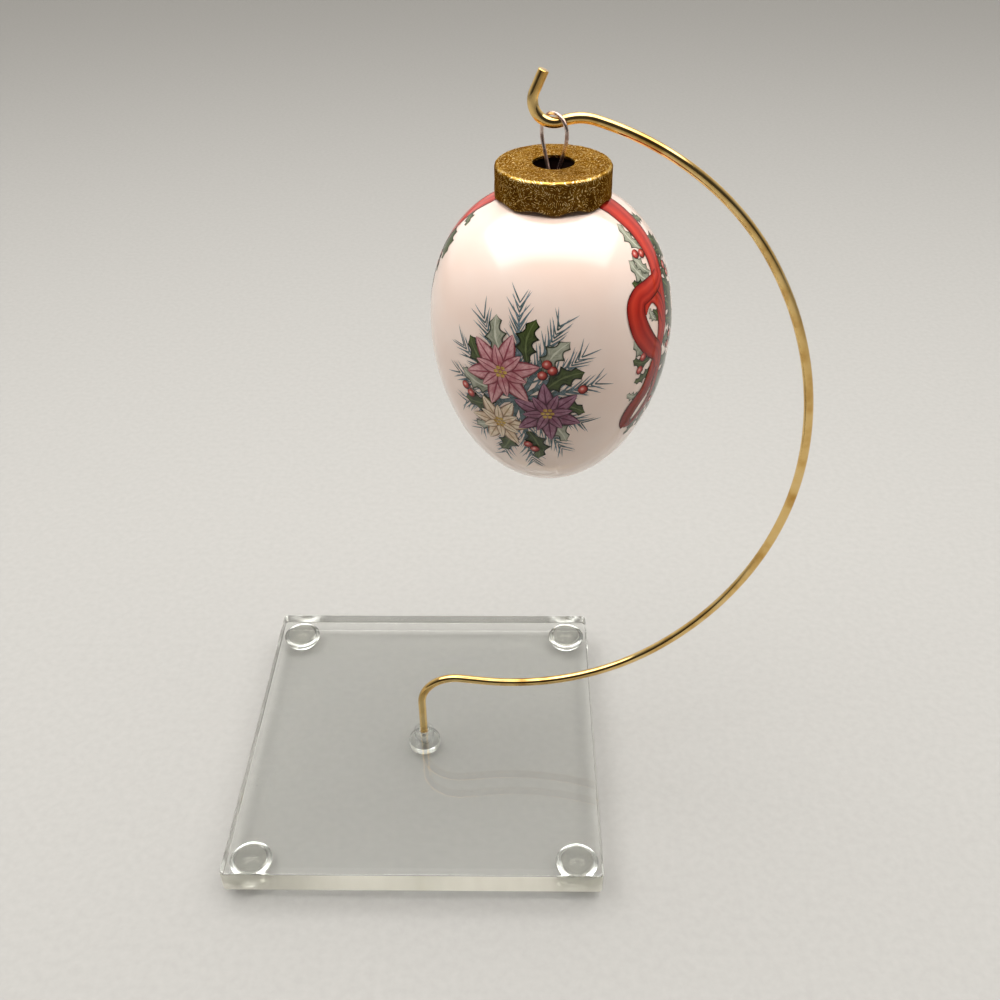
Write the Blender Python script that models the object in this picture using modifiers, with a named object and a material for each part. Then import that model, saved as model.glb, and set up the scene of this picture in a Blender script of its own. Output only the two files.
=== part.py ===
"""Egg-shaped porcelain ornament hanging from a bent brass wire on a clear plate.

The plate stands on four bumpers. A bush in its middle holds the foot of the wire, whose upper end
is a hook. A spring-wire loop hangs on the hook, and its legs hold the egg under a pressed cap.
Lengths are in metres, +Z is up and the object stands on z = 0.
"""

import math

import bmesh
import bpy
from mathutils import Matrix, Vector

# Clearance between neighbouring pieces
SEAT_GAP = 0.0003

# Clear plate and its domed bumpers
BASE_SIDE = 0.0889
BASE_THICKNESS = 0.0060
BASE_CORNER_RADIUS = 0.0012
BASE_POLISHED_EDGE = 0.0004
FOOT_DIAMETER = 0.0100
FOOT_HEIGHT = 0.0030
FOOT_RIM = 0.0003
FOOT_FLAT_DIAMETER = 0.0020
FOOT_SIDE_INSET = 0.0008
FOOT_FRONT_INSET = 0.0016
FOOT_REAR_INSET = 0.0004

# Bush that holds the foot of the wire
SLEEVE_WALL = 0.0009
FLANGE_DIAMETER = 0.0081
FLANGE_THICKNESS = 0.0018
BUSH_FLOOR = 0.0007

# Bent wire: each bend has a radius and the heading in degrees that it ends at, where 0 points
# away from the post, 90 points up and 180 points back over the plate
WIRE_DIAMETER = 0.0020
POST_RISE = 0.0101
FOOT_BEND_RADIUS = 0.0088
FOOT_BEND_END = -7.8
LEVEL_RUN = 0.0056
LOWER_BOW_RADIUS = 0.0568
LOWER_BOW_END = 39.6
SIDE_BOW_RADIUS = 0.0733
SIDE_BOW_END = 90.0
UPPER_BOW_RADIUS = 0.0823
UPPER_BOW_END = 122.8
SHOULDER_RADIUS = 0.0639
SHOULDER_END = 162.4
CREST_RADIUS = 0.0093
CREST_END = 200.4
HOOK_RADIUS = 0.0039
HOOK_END = 66.5
TIP_RUN = 0.0040

# Spring-wire loop
HANGER_DIAMETER = 0.0007
HANGER_ARCH_RADIUS = 0.0031
HANGER_TURN = -45.0
HANGER_STRAIGHT = 0.0016
HANGER_CROSS_DEPTH = 0.0034
HANGER_CROSS_OFFSET = 0.0006
HANGER_SPREAD_DEPTH = 0.0076
HANGER_LEG_DEPTH = 0.0150
HANGER_CORNER_CUT = 0.0013

# Pressed cap
HANG_DROP = 0.0071
CAP_DIAMETER = 0.0216
CAP_HEIGHT = 0.0060
CAP_SHEET = 0.0005
CAP_HOLE_DIAMETER = 0.0078
CAP_EDGE_ROUND = 0.0009
SCALLOP_COUNT = 9
SCALLOP_DEPTH = 0.0006

# Porcelain egg: radius at half height, half height, and the two terms that swell its upper half
EGG_RADIUS = 0.0236
EGG_HALF_HEIGHT = 0.0312
EGG_SWELL = 0.114
EGG_FULLNESS = 0.057
EGG_WALL = 0.0028
NECK_DIAMETER = 0.0164
NECK_BORE = 0.0092
NECK_LIP_ROUND = 0.0006

# Fineness of the round shapes
TURNED_STEPS = 40
SMALL_TURNED_STEPS = 32
STEPS_PER_SCALLOP = 8
ROUND_STEPS = 3
DOME_STEPS = 8
EDGE_STEPS = 2
EDGE_ANGLE = 60.0
STAND_WIRE_STEPS = 3
HANGER_STEPS = 2
WIRE_STEP = 0.0045
BEND_STEP = 13.0
CORNER_STEPS = 4
OUTER_EGG_STEPS = 18
INNER_EGG_STEPS = 12
MERGE_DISTANCE = 0.00001
SEARCH_STEPS = 40

# Levels that the pieces share
PLATE_BOTTOM = FOOT_HEIGHT + SEAT_GAP
PLATE_TOP = PLATE_BOTTOM + BASE_THICKNESS
FLANGE_TOP = PLATE_BOTTOM - SEAT_GAP
FLANGE_BOTTOM = FLANGE_TOP - FLANGE_THICKNESS
SOCKET_FLOOR = FLANGE_BOTTOM + BUSH_FLOOR
WIRE_END = SOCKET_FLOOR + SEAT_GAP

# Radii that the pieces share
WIRE_RADIUS = WIRE_DIAMETER / 2
HANGER_RADIUS = HANGER_DIAMETER / 2
SOCKET_RADIUS = WIRE_RADIUS + SEAT_GAP
SLEEVE_RADIUS = SOCKET_RADIUS + SLEEVE_WALL
PLATE_HOLE_RADIUS = SLEEVE_RADIUS + SEAT_GAP
CAP_RADIUS = CAP_DIAMETER / 2
NECK_RADIUS = NECK_DIAMETER / 2
BORE_RADIUS = NECK_BORE / 2


def clear_scene():
    """Remove every object that the scene starts with."""
    for old in list(bpy.data.objects):
        bpy.data.objects.remove(old, do_unlink=True)


def new_collection(name):
    """Add a collection to the scene."""
    collection = bpy.data.collections.new(name)
    bpy.context.scene.collection.children.link(collection)
    return collection


def finish(name, colour, roughness, metallic=0.0, clear=0.0):
    """Make a material from its base colour and its surface values."""
    material = bpy.data.materials.new(name)
    material.use_nodes = True
    shader = material.node_tree.nodes["Principled BSDF"]
    shader.inputs["Base Color"].default_value = (*colour, 1.0)
    shader.inputs["Roughness"].default_value = roughness
    shader.inputs["Metallic"].default_value = metallic
    shader.inputs["Transmission Weight"].default_value = clear
    return material


def add_object(name, data, material, parent, location):
    """Put a mesh or a curve in the object's collection, with its parent and its place."""
    data.materials.append(material)
    piece = bpy.data.objects.new(name, data)
    PARTS.objects.link(piece)
    piece.parent = parent
    piece.location = location
    return piece


def add_empty(name, parent, location):
    """Put a bare axis in the object's collection, which carries other pieces."""
    empty = bpy.data.objects.new(name, None)
    empty.empty_display_size = HANG_DROP
    PARTS.objects.link(empty)
    empty.parent = parent
    empty.location = location
    return empty


def profile_mesh(name, profile):
    """Make a mesh of one open line in the XZ plane, from (radius, height) points."""
    mesh = bpy.data.meshes.new(name)
    points = [(radius, 0.0, height) for radius, height in profile]
    edges = [(index, index + 1) for index in range(len(points) - 1)]
    mesh.from_pydata(points, edges, [])
    return mesh


def turned(name, profile, steps, material, parent, location):
    """Turn a profile about its own Z axis, where the profile runs down its outer side."""
    piece = add_object(name, profile_mesh(name, profile), material, parent, location)
    screw = piece.modifiers.new("Turn", "SCREW")
    screw.axis = "Z"
    screw.steps = steps
    screw.render_steps = steps
    screw.use_merge_vertices = True
    screw.merge_threshold = MERGE_DISTANCE
    screw.use_smooth_shade = True
    return piece


def wire_object(name, path, radius, resolution, material, parent, location):
    """Make a round wire with closed ends along a line of points."""
    curve = bpy.data.curves.new(name, "CURVE")
    curve.dimensions = "3D"
    curve.bevel_depth = radius
    curve.bevel_resolution = resolution
    curve.use_fill_caps = True
    spline = curve.splines.new("POLY")
    spline.points.add(len(path) - 1)
    for point, place in zip(spline.points, path):
        point.co = (*place, 1.0)
    return add_object(name, curve, material, parent, location)


def quarter_round(centre, radius, start, end, steps=ROUND_STEPS):
    """Points of a rounded edge, between two angles in degrees that are measured from +X."""
    points = []
    for step in range(steps + 1):
        angle = math.radians(start + (end - start) * step / steps)
        points.append((centre[0] + radius * math.cos(angle), centre[1] + radius * math.sin(angle)))
    return points


def egg_point(shrink, angle):
    """Radius and height from mid height of the egg's outline, an angle from its top down."""
    up = math.cos(angle)
    swell = 1.0 + EGG_SWELL * up + EGG_FULLNESS * up * up
    radius = (EGG_RADIUS - shrink) * math.sin(angle) * swell
    return radius, (EGG_HALF_HEIGHT - shrink) * up


def egg_angle_at(shrink, radius):
    """Angle from the top at which the upper half of the outline has the given radius."""
    low, high = 0.0, math.pi / 2
    for _ in range(SEARCH_STEPS):
        middle = (low + high) / 2
        if egg_point(shrink, middle)[0] < radius:
            low = middle
        else:
            high = middle
    return low


def egg_line(shrink, top_radius, steps):
    """Outline from the given radius near the top down to the egg's lower tip."""
    first = egg_angle_at(shrink, top_radius)
    line = []
    for step in range(steps + 1):
        angle = first + (math.pi - first) * step / steps
        line.append(egg_point(shrink, angle))
    line[-1] = (0.0, line[-1][1])
    return line


def left_of(heading):
    """Direction to the left of a heading, in the plane of the wire."""
    angle = math.radians(heading)
    return Vector((-math.sin(angle), 0.0, math.cos(angle)))


def bend(path, heading, radius, end):
    """Add an arc to the wire and return the middle of the arc."""
    turn = end - heading
    side = math.copysign(radius, turn)
    middle = path[-1] + left_of(heading) * side
    length = abs(math.radians(turn)) * radius
    steps = max(math.ceil(length / WIRE_STEP), math.ceil(abs(turn) / BEND_STEP))
    for step in range(1, steps + 1):
        path.append(middle - left_of(heading + turn * step / steps) * side)
    return middle


def run(path, heading, length):
    """Add a straight length to the wire."""
    angle = math.radians(heading)
    path.append(path[-1] + Vector((math.cos(angle), 0.0, math.sin(angle))) * length)


def bend_stand_wire():
    """Centre line of the stand's wire from its foot to its tip, and the low point of its hook."""
    upright = 90.0
    path = [Vector((0.0, 0.0, WIRE_END - PLATE_TOP))]
    run(path, upright, PLATE_TOP - WIRE_END + POST_RISE)
    bend(path, upright, FOOT_BEND_RADIUS, FOOT_BEND_END)
    run(path, FOOT_BEND_END, LEVEL_RUN)
    bend(path, FOOT_BEND_END, LOWER_BOW_RADIUS, LOWER_BOW_END)
    bend(path, LOWER_BOW_END, SIDE_BOW_RADIUS, SIDE_BOW_END)
    bend(path, SIDE_BOW_END, UPPER_BOW_RADIUS, UPPER_BOW_END)
    bend(path, UPPER_BOW_END, SHOULDER_RADIUS, SHOULDER_END)
    bend(path, SHOULDER_END, CREST_RADIUS, CREST_END)
    hook_middle = bend(path, CREST_END, HOOK_RADIUS, HOOK_END)
    run(path, HOOK_END, TIP_RUN)
    return path, hook_middle - Vector((0.0, 0.0, HOOK_RADIUS))


def round_corners(points):
    """Replace each inner corner of a line by a short curve."""
    path = [points[0]]
    for before, corner, after in zip(points, points[1:], points[2:]):
        start = corner + (before - corner).normalized() * HANGER_CORNER_CUT
        end = corner + (after - corner).normalized() * HANGER_CORNER_CUT
        for step in range(CORNER_STEPS + 1):
            share = step / CORNER_STEPS
            path.append(start.lerp(corner, share).lerp(corner.lerp(end, share), share))
    path.append(points[-1])
    return path


def bend_hanger():
    """Centre line of the loop, measured from the middle of the hook's wire where it hangs."""
    arch_top = WIRE_RADIUS + SEAT_GAP + HANGER_RADIUS
    arch_middle = arch_top - HANGER_ARCH_RADIUS
    reach = BORE_RADIUS - SEAT_GAP - HANGER_RADIUS
    spread = math.sqrt(reach ** 2 - HANGER_CROSS_OFFSET ** 2)
    cap_top = -HANG_DROP
    leg = [
        Vector((-spread, HANGER_CROSS_OFFSET, cap_top - HANGER_LEG_DEPTH)),
        Vector((-spread, HANGER_CROSS_OFFSET, cap_top - HANGER_SPREAD_DEPTH)),
        Vector((0.0, HANGER_CROSS_OFFSET, cap_top - HANGER_CROSS_DEPTH)),
        Vector((HANGER_ARCH_RADIUS, 0.0, arch_middle - HANGER_STRAIGHT)),
        Vector((HANGER_ARCH_RADIUS, 0.0, arch_middle)),
    ]
    first_leg = round_corners(leg)
    half_turn = Matrix.Rotation(math.pi, 3, "Z")
    second_leg = [half_turn @ point for point in reversed(first_leg)]
    arch_steps = math.ceil(180.0 / BEND_STEP)
    arch = []
    for step in range(1, arch_steps):
        angle = math.pi * step / arch_steps
        across = HANGER_ARCH_RADIUS * math.cos(angle)
        arch.append(Vector((across, 0.0, arch_middle + HANGER_ARCH_RADIUS * math.sin(angle))))
    return first_leg + arch + second_leg


def make_plate(parent, material):
    """Square plate with rounded corners, polished edges and a hole for the bush."""
    form = bmesh.new()
    bmesh.ops.create_cube(form, size=1.0)
    bmesh.ops.scale(form, vec=(BASE_SIDE, BASE_SIDE, BASE_THICKNESS), verts=form.verts)
    upright = []
    for edge in form.edges:
        if abs(edge.verts[0].co.z - edge.verts[1].co.z) > MERGE_DISTANCE:
            upright.append(edge)
    bmesh.ops.bevel(
        form, geom=upright, offset=BASE_CORNER_RADIUS, segments=ROUND_STEPS, profile=0.5,
        affect="EDGES", material=-1,
    )
    mesh = bpy.data.meshes.new("base_plate")
    form.to_mesh(mesh)
    form.free()
    middle = Vector((0.0, 0.0, (PLATE_BOTTOM + PLATE_TOP) / 2))
    plate = add_object("base_plate", mesh, material, parent, middle)
    edge = plate.modifiers.new("Polished edge", "BEVEL")
    edge.width = BASE_POLISHED_EDGE
    edge.segments = EDGE_STEPS
    edge.limit_method = "ANGLE"
    edge.angle_limit = math.radians(EDGE_ANGLE)

    drill = bmesh.new()
    bmesh.ops.create_cone(
        drill, cap_ends=True, segments=SMALL_TURNED_STEPS, radius1=PLATE_HOLE_RADIUS,
        radius2=PLATE_HOLE_RADIUS, depth=2 * BASE_THICKNESS,
    )
    drill_mesh = bpy.data.meshes.new("plate_hole")
    drill.to_mesh(drill_mesh)
    drill.free()
    cutter = bpy.data.objects.new("plate_hole", drill_mesh)
    CUTTERS.objects.link(cutter)
    cutter.parent = parent
    cutter.location = middle
    cutter.hide_render = True
    cutter.display_type = "WIRE"
    hole = plate.modifiers.new("Hole", "BOOLEAN")
    hole.operation = "DIFFERENCE"
    hole.object = cutter


def make_feet(parent, material):
    """Four domed bumpers under the corners of the plate, each with a small flat resting face."""
    radius = FOOT_DIAMETER / 2
    flat_radius = FOOT_FLAT_DIAMETER / 2
    reach = radius - flat_radius
    rise = FOOT_HEIGHT - FOOT_RIM
    dome_radius = (reach * reach + rise * rise) / (2 * rise)
    rim_angle = math.degrees(math.atan2(rise - dome_radius, reach))
    profile = [(0.0, FOOT_HEIGHT), (radius, FOOT_HEIGHT)]
    profile += quarter_round((flat_radius, dome_radius), dome_radius, rim_angle, -90.0, DOME_STEPS)
    profile.append((0.0, 0.0))
    corner = BASE_SIDE / 2 - radius
    out = corner - FOOT_SIDE_INSET
    for depth_name, depth in (("front", FOOT_FRONT_INSET - corner), ("rear", corner - FOOT_REAR_INSET)):
        for side_name, side in (("left", -out), ("right", out)):
            name = f"foot_{depth_name}_{side_name}"
            turned(name, profile, SMALL_TURNED_STEPS, material, parent, (side, depth, 0.0))


def make_bush(parent, material):
    """Flanged bush with a blind bore: its sleeve fills the plate's hole, its flange is below."""
    flange_radius = FLANGE_DIAMETER / 2
    profile = [
        (0.0, SOCKET_FLOOR),
        (SOCKET_RADIUS, SOCKET_FLOOR),
        (SOCKET_RADIUS, PLATE_TOP),
        (SLEEVE_RADIUS, PLATE_TOP),
        (SLEEVE_RADIUS, FLANGE_TOP),
        (flange_radius, FLANGE_TOP),
        (flange_radius, FLANGE_BOTTOM),
        (0.0, FLANGE_BOTTOM),
    ]
    turned("socket_bush", profile, SMALL_TURNED_STEPS, material, parent, (0.0, 0.0, 0.0))


def make_cap(parent, material):
    """Cap of thin sheet with a hole in its top and a scalloped rim, from its top face down."""
    edge = (CAP_RADIUS - CAP_EDGE_ROUND, -CAP_EDGE_ROUND)
    profile = [(CAP_HOLE_DIAMETER / 2, 0.0)]
    profile += quarter_round(edge, CAP_EDGE_ROUND, 90.0, 0.0)
    profile.append((CAP_RADIUS, -CAP_HEIGHT))
    form = bmesh.new()
    form.from_mesh(profile_mesh("cap_line", profile))
    line = form.verts[:] + form.edges[:]
    steps = SCALLOP_COUNT * STEPS_PER_SCALLOP
    bmesh.ops.spin(
        form, geom=line, axis=(0.0, 0.0, 1.0), cent=(0.0, 0.0, 0.0), angle=2 * math.pi,
        steps=steps, use_merge=True,
    )
    bmesh.ops.remove_doubles(form, verts=form.verts, dist=MERGE_DISTANCE)
    for vertex in form.verts:
        if vertex.co.z < -CAP_HEIGHT + MERGE_DISTANCE:
            around = math.atan2(vertex.co.y, vertex.co.x) + math.pi / 2
            vertex.co.z += SCALLOP_DEPTH * (1.0 - math.cos(SCALLOP_COUNT * around)) / 2
    bmesh.ops.recalc_face_normals(form, faces=form.faces)
    if max(form.faces, key=lambda face: face.calc_center_median().z).normal.z < 0.0:
        bmesh.ops.reverse_faces(form, faces=form.faces)
    mesh = bpy.data.meshes.new("ornament_cap")
    form.to_mesh(mesh)
    form.free()
    mesh.shade_smooth()
    cap = add_object("ornament_cap", mesh, material, parent, (0.0, 0.0, -HANG_DROP))
    sheet = cap.modifiers.new("Sheet", "SOLIDIFY")
    sheet.thickness = CAP_SHEET
    sheet.offset = -1.0
    sheet.use_even_offset = True
    return cap


def make_egg(parent, material):
    """Hollow egg whose neck stands inside the cap, with its heights measured from the cap's top."""
    cap_inside = CAP_RADIUS - CAP_SHEET
    shoulder = egg_point(0.0, egg_angle_at(0.0, cap_inside))[1]
    mid_height = -CAP_HEIGHT - SEAT_GAP - shoulder
    neck_top = -CAP_SHEET - SEAT_GAP
    lip_level = neck_top - NECK_LIP_ROUND
    inside = egg_line(EGG_WALL, BORE_RADIUS, INNER_EGG_STEPS)
    outside = egg_line(0.0, NECK_RADIUS, OUTER_EGG_STEPS)
    profile = [(radius, mid_height + height) for radius, height in reversed(inside)]
    inner_lip = (BORE_RADIUS + NECK_LIP_ROUND, lip_level)
    outer_lip = (NECK_RADIUS - NECK_LIP_ROUND, lip_level)
    profile += quarter_round(inner_lip, NECK_LIP_ROUND, 180.0, 90.0)
    profile += quarter_round(outer_lip, NECK_LIP_ROUND, 90.0, 0.0)
    profile += [(radius, mid_height + height) for radius, height in outside]
    turned("egg_body", profile, TURNED_STEPS, material, parent, (0.0, 0.0, 0.0))


clear_scene()
PARTS = new_collection("egg_ornament_on_stand")
CUTTERS = new_collection("egg_ornament_on_stand_cutters")

ACRYLIC = finish("clear_acrylic", (0.90, 0.93, 0.91), 0.04, clear=1.0)
BUMPER = finish("clear_bumper", (0.92, 0.92, 0.89), 0.15, clear=0.9)
BRASS = finish("polished_brass", (0.83, 0.60, 0.24), 0.14, metallic=1.0)
PRESSED_BRASS = finish("antique_brass", (0.35, 0.23, 0.07), 0.38, metallic=1.0)
SPRING_WIRE = finish("spring_wire", (0.62, 0.55, 0.50), 0.25, metallic=1.0)
PORCELAIN = finish("glazed_porcelain", (0.91, 0.85, 0.80), 0.06)

wire_path, saddle = bend_stand_wire()
wire_reach = max(point.x for point in wire_path) + WIRE_RADIUS
stand_centre = (BASE_SIDE / 2 - wire_reach) / 2

STAND = add_empty("stand_axis", None, (stand_centre, 0.0, 0.0))
make_plate(STAND, ACRYLIC)
make_feet(STAND, BUMPER)
make_bush(STAND, ACRYLIC)
stand_wire = wire_object(
    "stand_wire", wire_path, WIRE_RADIUS, STAND_WIRE_STEPS, BRASS, STAND, (0.0, 0.0, PLATE_TOP),
)

SADDLE = add_empty("hook_saddle", stand_wire, saddle)
hanger = wire_object(
    "hanger_wire", bend_hanger(), HANGER_RADIUS, HANGER_STEPS, SPRING_WIRE, SADDLE, (0.0, 0.0, 0.0),
)
hanger.rotation_euler.z = math.radians(HANGER_TURN)
cap = make_cap(SADDLE, PRESSED_BRASS)
make_egg(cap, PORCELAIN)
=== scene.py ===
"""Looks of an egg-shaped porcelain ornament that hangs from a brass wire on a clear plate."""

import math

import bmesh
import bpy
from mathutils import Matrix, Vector, noise


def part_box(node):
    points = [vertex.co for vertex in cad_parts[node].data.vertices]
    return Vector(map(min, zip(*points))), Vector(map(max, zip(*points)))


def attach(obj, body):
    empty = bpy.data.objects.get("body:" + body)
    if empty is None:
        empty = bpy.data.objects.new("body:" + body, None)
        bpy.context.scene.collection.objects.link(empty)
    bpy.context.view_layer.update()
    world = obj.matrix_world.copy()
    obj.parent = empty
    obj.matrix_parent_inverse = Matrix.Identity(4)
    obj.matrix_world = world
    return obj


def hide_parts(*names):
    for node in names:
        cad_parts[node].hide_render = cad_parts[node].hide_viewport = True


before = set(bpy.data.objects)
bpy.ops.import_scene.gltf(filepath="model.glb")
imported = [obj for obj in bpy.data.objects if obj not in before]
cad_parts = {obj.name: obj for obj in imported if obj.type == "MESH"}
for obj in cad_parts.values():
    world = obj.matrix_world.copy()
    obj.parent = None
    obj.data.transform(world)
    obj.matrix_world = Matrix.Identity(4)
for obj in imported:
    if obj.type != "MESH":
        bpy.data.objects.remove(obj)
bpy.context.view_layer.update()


# BASE PLATE
# A square of clear cast acrylic sheet with polished faces, satin cut edges and rounded corners. It
# lies on four bumpers, and the hole in its middle takes the bush that holds the wire.

plate_low, plate_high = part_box("base_plate")
stand_axis = Vector(((plate_low.x + plate_high.x) / 2, 0.0, 0.0))
plate_half = (plate_high.x - plate_low.x) / 2
plate_sheet = plate_high.z - plate_low.z
plate_hole = 0.0025
plate_corner = 0.0012
plate_edge = 0.0004
hole_zone = 2 * plate_hole
sharp_angle = 1.0


def linear(code):
    """Turn an sRGB hex colour into linear values, fully opaque."""
    shares = [int(code[place:place + 2], 16) / 255 for place in (1, 3, 5)]
    bent = [((share + 0.055) / 1.055) ** 2.4 if share > 0.04045 else share / 12.92 for share in shares]
    return (*bent, 1.0)


def new_material(name, values):
    """Start a material and set the values that are the same all over its surface."""
    material = bpy.data.materials.new(name)
    material.use_nodes = True
    for socket, value in values.items():
        material.node_tree.nodes["Principled BSDF"].inputs[socket].default_value = value
    return material


def add_node(material, kind, inputs=None, out=0, stops=None, feeds=None, **settings):
    """Add a node with settings, input values and links; return one output, or feed it to the shader."""
    tree = material.node_tree
    node = tree.nodes.new("ShaderNode" + kind)
    for name, value in settings.items():
        setattr(node, name, value)
    if stops:
        for _ in stops[2:]:
            node.color_ramp.elements.new(0.5)
        for element, (place, code) in zip(node.color_ramp.elements, stops):
            element.position = place
            element.color = linear(code)
    for socket, source in (inputs or {}).items():
        if isinstance(source, bpy.types.NodeSocket):
            tree.links.new(source, node.inputs[socket])
        else:
            node.inputs[socket].default_value = source
    if feeds:
        tree.links.new(node.outputs[out], tree.nodes["Principled BSDF"].inputs[feeds])
    return node.outputs[out]


def add_piece(name, form, body, slot, *materials):
    """Make a finished form an object with smooth faces and crisp edges that rides on a body."""
    mesh = bpy.data.meshes.new(name)
    form.to_mesh(mesh)
    form.free()
    mesh.shade_smooth()
    mesh.set_sharp_from_angle(angle=math.radians(40.0))
    for material in materials:
        mesh.materials.append(material)
    piece = bpy.data.objects.new(name, mesh)
    bpy.context.scene.collection.objects.link(piece)
    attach(piece, body)
    return piece


def of_kind(items, kind):
    """Pick the vertices, edges or faces out of an operator's result."""
    return [item for item in items if isinstance(item, kind)]


# Cast acrylic, polished: clear to the edge, with a breath of smudges and a few specks of dust
acrylic = new_material("cast_acrylic", {"Transmission Weight": 1.0, "IOR": 1.49})
spot = add_node(acrylic, "TexCoord", out="Object")
smudge = add_node(acrylic, "TexNoise", {"Vector": spot, "Scale": 1 / 0.009, "Detail": 4.0})
add_node(acrylic, "MapRange", {
    "Value": smudge, "From Min": 0.45, "From Max": 0.8, "To Min": 0.0, "To Max": 0.015,
}, feeds="Roughness")
speck = add_node(acrylic, "TexVoronoi", {"Vector": spot, "Scale": 1 / 0.005})
add_node(acrylic, "ValToRGB", {"Fac": speck}, feeds="Base Color", stops=[
    (0.02, "#CFD2CC"), (0.04, "#FBFCFA"),
])

# Cut acrylic: scraped smooth but not polished, so that the edge is satin, with upright tool marks
cut_acrylic = new_material("cut_acrylic", {"Transmission Weight": 1.0, "IOR": 1.49})
spot = add_node(cut_acrylic, "TexCoord", out="Object")
upright = add_node(cut_acrylic, "VectorMath", {0: spot, 1: (1.0, 1.0, 0.1)}, operation="MULTIPLY")
marks = add_node(cut_acrylic, "TexNoise", {"Vector": upright, "Scale": 1 / 0.003, "Detail": 2.0})
add_node(cut_acrylic, "MapRange", {
    "Value": marks, "From Min": 0.3, "From Max": 0.7, "To Min": 0.28, "To Max": 0.36,
}, feeds="Roughness")
add_node(cut_acrylic, "ValToRGB", {"Fac": marks}, feeds="Base Color", stops=[
    (0.3, "#DDDACC"), (0.7, "#E6E3D6"),
])

form = bmesh.new()
bmesh.ops.create_circle(form, cap_ends=False, segments=64, radius=plate_hole)
outline = bmesh.ops.extrude_edge_only(form, edges=form.edges[:])["geom"]
for vertex in of_kind(outline, bmesh.types.BMVert):
    vertex.co *= plate_half / max(abs(vertex.co.x), abs(vertex.co.y))
upper = bmesh.ops.extrude_face_region(form, geom=form.faces[:])["geom"]
bmesh.ops.translate(form, vec=(0, 0, plate_sheet), verts=of_kind(upper, bmesh.types.BMVert))
bmesh.ops.recalc_face_normals(form, faces=form.faces)
corners = [
    edge for edge in form.edges
    if all(min(abs(vertex.co.x), abs(vertex.co.y)) > 0.999 * plate_half for vertex in edge.verts)
]
bmesh.ops.bevel(
    form, geom=corners, offset=plate_corner, segments=6, profile=0.5, affect="EDGES", material=-1,
)
rims = [
    edge for edge in form.edges
    if edge.calc_face_angle() > sharp_angle and edge.verts[0].co.xy.length > hole_zone
]
bmesh.ops.bevel(
    form, geom=rims, offset=plate_edge, segments=3, profile=0.5, affect="EDGES", material=-1,
)
for face in form.faces:
    middle = face.calc_center_median()
    cut = abs(face.normal.z) < 0.7 and middle.xy.length > hole_zone
    face.material_index = 1 if cut else 0
bmesh.ops.translate(form, vec=stand_axis + Vector((0, 0, plate_low.z)), verts=form.verts)
plate = add_piece("clear_plate", form, "base", "clear_acrylic", acrylic, cut_acrylic)
plate.modifiers.new("Flat faces", "WEIGHTED_NORMAL").keep_sharp = True
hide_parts("base_plate")


# BUMPERS
# Four stick-on domes of clear moulded polyurethane, one under each corner of the plate. Their
# adhesive wets the acrylic, so no air shows between the two.

bumper_radius = 0.0050
bumper_flat = 0.0010
bumper_rim = 0.0003
bond = 0.00003


def arc(middle, radius, start, end, steps):
    """Points of a rounded edge, between two angles in degrees from the outward direction."""
    points = []
    for step in range(steps + 1):
        angle = math.radians(start + (end - start) * step / steps)
        points.append((middle[0] + radius * math.cos(angle), middle[1] + radius * math.sin(angle)))
    return points


def turn(form, profile, steps):
    """Turn a line of (radius, height) points about the Z axis."""
    points = [form.verts.new((radius, 0.0, height)) for radius, height in profile]
    line = [form.edges.new(pair) for pair in zip(points, points[1:])]
    bmesh.ops.spin(
        form, geom=points + line, axis=(0, 0, 1), cent=(0, 0, 0), angle=2 * math.pi, steps=steps,
        use_merge=True,
    )
    bmesh.ops.remove_doubles(form, verts=form.verts, dist=0.000001)
    bmesh.ops.recalc_face_normals(form, faces=form.faces)


# Moulded polyurethane: water clear and soft, with a faintly hazy skin
polyurethane = new_material("moulded_polyurethane", {"Transmission Weight": 1.0, "IOR": 1.5})
spot = add_node(polyurethane, "TexCoord", out="Object")
haze = add_node(polyurethane, "TexNoise", {"Vector": spot, "Scale": 1 / 0.0015, "Detail": 3.0})
add_node(polyurethane, "MapRange", {
    "Value": haze, "From Min": 0.3, "From Max": 0.8, "To Min": 0.02, "To Max": 0.14,
}, feeds="Roughness")
add_node(polyurethane, "ValToRGB", {"Fac": haze}, feeds="Base Color", stops=[
    (0.3, "#FFFFFC"), (0.8, "#F4F4EE"),
])

for corner_name in ("front_left", "front_right", "rear_left", "rear_right"):
    foot_low, foot_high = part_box("foot_" + corner_name)
    reach = bumper_radius - bumper_flat
    rise = foot_high.z - bumper_rim
    dome = (reach * reach + rise * rise) / (2 * rise)
    rim_angle = math.degrees(math.atan2(rise - dome, reach))
    bonded_top = plate_low.z + bond
    form = bmesh.new()
    turn(form, [
        (0.0, bonded_top), (bumper_radius, bonded_top),
        *arc((bumper_flat, dome), dome, rim_angle, -90.0, 24), (0.0, 0.0),
    ], 64)
    foot_middle = (foot_low + foot_high) / 2
    bmesh.ops.translate(form, vec=(foot_middle.x, foot_middle.y, 0.0), verts=form.verts)
    bumper = add_piece("bumper_" + corner_name, form, "base", "clear_bumper", polyurethane)
    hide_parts("foot_" + corner_name)


# BUSH
# A flanged bush of clear acrylic, cemented under the plate with its sleeve in the plate's hole. Its
# blind bore holds the foot of the wire.

bush_low, bush_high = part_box("socket_bush")
flange_radius = (bush_high.x - bush_low.x) / 2
flange_round = 0.0004
bore_radius = 0.0013
bore_bottom = 0.0007
bore_floor = bush_low.z + bore_bottom
sleeve_radius = plate_hole + bond
flange_top = plate_low.z + bond

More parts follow.
